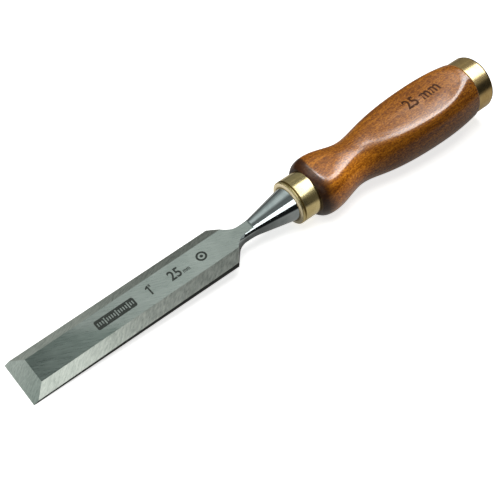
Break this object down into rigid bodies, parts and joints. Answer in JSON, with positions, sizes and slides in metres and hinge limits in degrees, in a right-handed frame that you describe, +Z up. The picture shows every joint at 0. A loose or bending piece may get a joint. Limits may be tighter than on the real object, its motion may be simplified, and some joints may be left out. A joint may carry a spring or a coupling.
{
  "type": "bench chisel",
  "caption": "Bevel-edged bench chisel with a conical bolster, brass ferrule and hoop, and a waisted wooden handle with flats, lying on its cutting edge and collar.",
  "frame": {"origin": "middle of the footprint, on the surface that the chisel lies on", "axes": "+X along the chisel from the cutting edge to the struck end, +Y to its left as seen from the struck end looking forward with the bevels up, +Z up; the tool leans by 3.57 degrees about Y, because it rests on its cutting edge and on the flat of the handle's collar"},
  "size_m": [0.2732, 0.034, 0.0338],
  "materials": {
    "tool_steel": "ground, with a polished neck",
    "brass": "polished",
    "beech": "stained and varnished"
  },
  "bodies": {
    "root": {"blade": "tool_steel", "front_ferrule": "brass", "handle": "beech", "rear_hoop": "brass"}
  },
  "joints": []
}
